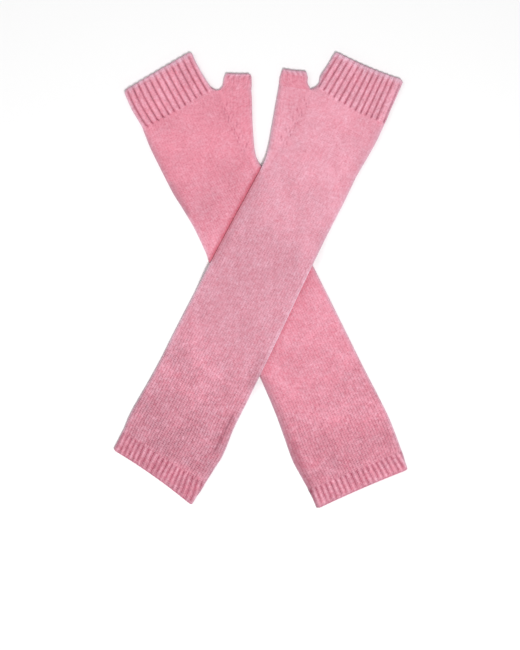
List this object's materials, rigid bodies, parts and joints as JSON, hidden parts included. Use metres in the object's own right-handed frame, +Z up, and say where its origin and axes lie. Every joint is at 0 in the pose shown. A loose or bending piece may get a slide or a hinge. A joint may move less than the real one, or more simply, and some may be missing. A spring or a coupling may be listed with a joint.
{
  "type": "pair of long fingerless gloves",
  "caption": "Pair of long knit fingerless gloves with thumb gussets and ribbed ends, laid flat with one crossed over the other.",
  "frame": {"origin": "centre of the pair's outline on the table, at the height of the table", "axes": "+X to the right and +Y towards the hand cuffs, as the pair is seen from straight above; +Z up, away from the table"},
  "size_m": [0.294, 0.456, 0.0095],
  "materials": {
    "plain_knit": "fine heathered plain knit with a short soft nap, matt",
    "rib_knit": "heathered rib knit with narrow dark grooves, matt"
  },
  "bodies": {
    "root": {"under_arm_tube": "plain_knit", "under_thumb_tube": "plain_knit", "under_arm_hem": "rib_knit", "under_hand_cuff": "rib_knit", "under_thumb_edge": "rib_knit", "over_arm_tube": "plain_knit", "over_thumb_tube": "plain_knit", "over_arm_hem": "rib_knit", "over_hand_cuff": "rib_knit", "over_thumb_edge": "rib_knit"}
  },
  "joints": []
}
